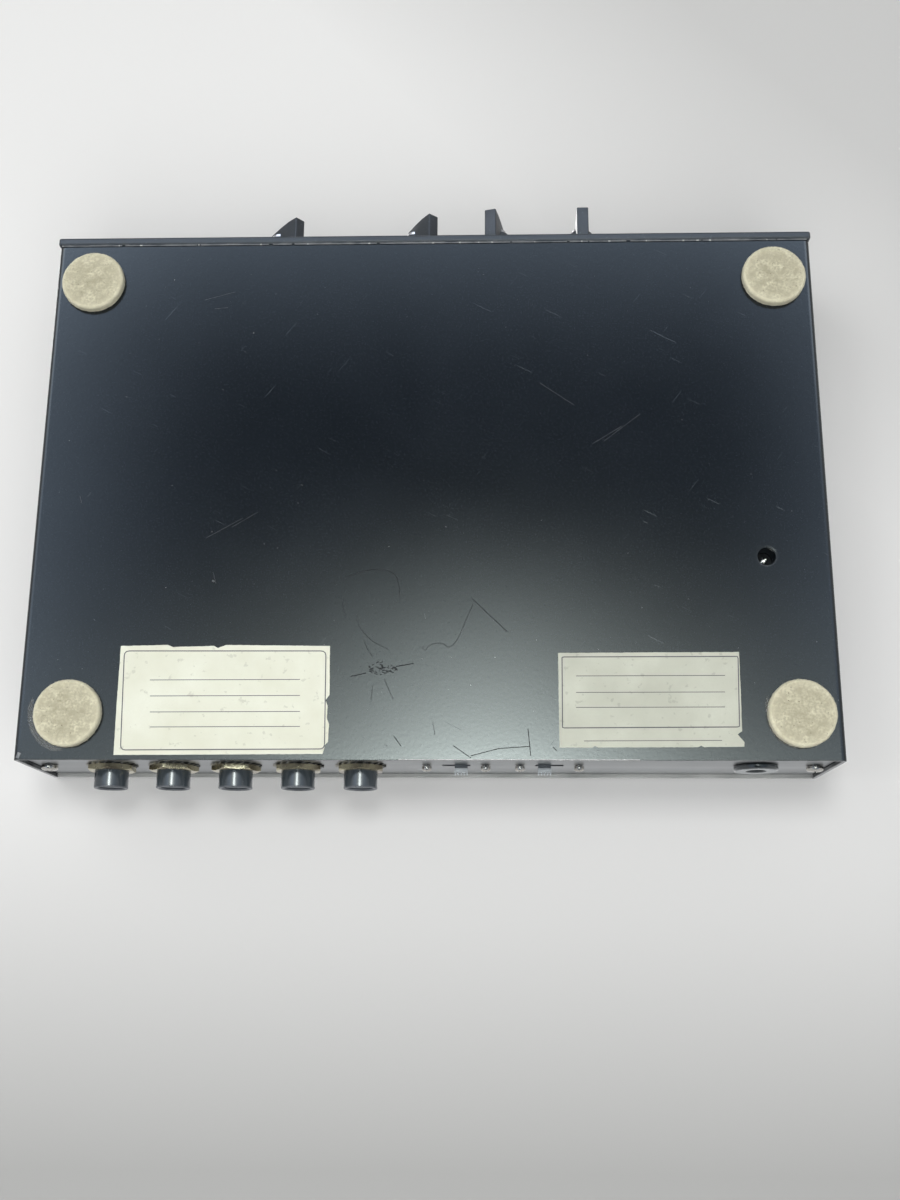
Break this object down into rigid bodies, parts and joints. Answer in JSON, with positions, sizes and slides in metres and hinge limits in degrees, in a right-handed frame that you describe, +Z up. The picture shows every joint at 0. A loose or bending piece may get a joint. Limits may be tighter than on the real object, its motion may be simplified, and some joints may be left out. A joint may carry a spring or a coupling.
{
  "type": "tape echo unit",
  "caption": "Flat steel-cased tape echo unit with bar knobs on its front, phone jacks and slide switches on its rear, a hinged tape lid and felt feet.",
  "frame": {"origin": "middle of the box round the whole unit, on the surface that the felt feet stand on", "axes": "+X to the right as seen from the front, +Y from the front panel to the rear panel, +Z up"},
  "size_m": [0.2642, 0.206, 0.0455],
  "materials": {
    "case_paint": "satin blue-black paint on folded steel sheet",
    "panel_paint": "satin black",
    "rear_metal": "brushed, lightly worn",
    "nickel": "bright nickel plate",
    "black_steel": "blackened",
    "steel": "zinc plated",
    "brass": "bright",
    "gloss_black": "gloss moulded",
    "knob_black": "matt moulded",
    "lever_grey": "matt moulded",
    "ivory_plastic": "satin moulded",
    "felt": "grey-beige felt, worn",
    "rubber": "matt",
    "red_lens": "clear red",
    "board_green": "varnished laminate",
    "tape_brown": "wound magnetic tape"
  },
  "bodies": {
    "case": {"bottom_cover": "case_paint", "top_cover": "case_paint", "front_panel": "panel_paint", "rear_panel": "rear_metal", "foot_front_left": "felt", "foot_front_right": "felt", "foot_rear_left": "felt", "foot_rear_right": "felt", "rear_screw_left": "nickel", "rear_screw_right": "nickel", "side_screw_left": "black_steel", "side_screw_right": "black_steel", "level_pot": "steel", "delay_pot": "steel", "repeat_pot": "steel", "echo_pot": "steel", "power_switch": "gloss_black", "power_lamp": "red_lens", "jack_1": "gloss_black", "jack_2": "gloss_black", "jack_3": "gloss_black", "jack_4": "gloss_black", "jack_5": "gloss_black", "jack_nut_1": "brass", "jack_nut_2": "brass", "jack_nut_3": "brass", "jack_nut_4": "brass", "jack_nut_5": "brass", "slide_switch_left": "steel", "slide_switch_right": "steel", "switch_screw_1": "nickel", "switch_screw_2": "nickel", "switch_screw_3": "nickel", "switch_screw_4": "nickel", "dc_inlet": "gloss_black", "circuit_board": "board_green", "trimmer": "ivory_plastic", "deck_plate": "steel", "motor": "steel", "drive_belt": "rubber", "head_block": "rear_metal", "tape_cartridge": "ivory_plastic"},
    "level_control": {"level_knob": "knob_black", "level_shaft": "steel"},
    "delay_control": {"delay_knob": "knob_black", "delay_shaft": "steel"},
    "repeat_control": {"repeat_knob": "knob_black", "repeat_shaft": "steel"},
    "echo_control": {"echo_knob": "knob_black", "echo_shaft": "steel"},
    "button": {"power_button": "knob_black"},
    "lever_left": {"slide_lever_left": "lever_grey"},
    "lever_right": {"slide_lever_right": "lever_grey"},
    "lid": {"tape_lid": "case_paint"},
    "rotor": {"trimmer_rotor": "nickel"},
    "flywheel": {"flywheel": "brass"},
    "pulley": {"motor_pulley": "brass"},
    "arm": {"pinch_arm": "steel"},
    "roller": {"pinch_roller": "rubber"},
    "reel": {"tape_reel": "tape_brown"}
  },
  "joints": [
    {"name": "level_turn", "type": "hinge", "parent": "case", "child": "level_control", "pos_m": [-0.05629, -0.08612, 0.024], "axis": [0, 1, 0], "range_deg": [-100, 200]},
    {"name": "delay_turn", "type": "hinge", "parent": "case", "child": "delay_control", "pos_m": [-0.00689, -0.08612, 0.024], "axis": [0, 1, 0], "range_deg": [-109, 191]},
    {"name": "repeat_turn", "type": "hinge", "parent": "case", "child": "repeat_control", "pos_m": [0.02301, -0.08612, 0.024], "axis": [0, 1, 0], "range_deg": [-165, 135]},
    {"name": "echo_turn", "type": "hinge", "parent": "case", "child": "echo_control", "pos_m": [0.0533, -0.08612, 0.024], "axis": [0, 1, 0], "range_deg": [-150, 150]},
    {"name": "power_push", "type": "slide", "parent": "case", "child": "button", "axis": [0, 1, 0], "range_m": [0, 0.003], "stiffness_N_per_m": 300},
    {"name": "lever_left_slide", "type": "slide", "parent": "case", "child": "lever_left", "axis": [1, 0, 0], "range_m": [-0.00325, 0]},
    {"name": "lever_right_slide", "type": "slide", "parent": "case", "child": "lever_right", "axis": [1, 0, 0], "range_m": [0, 0.00325]},
    {"name": "lid_hinge", "type": "hinge", "parent": "case", "child": "lid", "pos_m": [-0.065, 0.06477, 0.0432], "axis": [-1, 0, 0], "range_deg": [0, 95]},
    {"name": "trimmer_turn", "type": "hinge", "parent": "case", "child": "rotor", "pos_m": [0.1089, 0.03087, 0.009], "axis": [0, 0, -1], "range_deg": [-135, 135]},
    {"name": "flywheel_spin", "type": "hinge", "parent": "case", "child": "flywheel", "pos_m": [-0.034, -0.01063, 0.01], "axis": [0, 0, 1], "continuous": true},
    {"name": "pulley_spin", "type": "hinge", "parent": "case", "child": "pulley", "pos_m": [-0.096, -0.04312, 0.01], "axis": [0, 0, 1], "continuous": true},
    {"name": "arm_swing", "type": "hinge", "parent": "case", "child": "arm", "pos_m": [-0.02, -0.02863, 0.029], "axis": [0, 0, 1], "range_deg": [0, 20], "stiffness_Nm_per_rad": 0.02},
    {"name": "roller_spin", "type": "hinge", "parent": "arm", "child": "roller", "pos_m": [-0.034, -0.01943, 0.034], "axis": [0, 0, 1], "continuous": true},
    {"name": "reel_spin", "type": "hinge", "parent": "case", "child": "reel", "pos_m": [-0.066, 0.02527, 0.032], "axis": [0, 0, 1], "continuous": true}
  ],
  "couplings": [
    {"joint": "pulley_spin", "follows": "flywheel_spin", "ratio": 6.25},
    {"joint": "roller_spin", "follows": "flywheel_spin", "ratio": -0.21429},
    {"joint": "reel_spin", "follows": "flywheel_spin", "ratio": 0.051724}
  ]
}
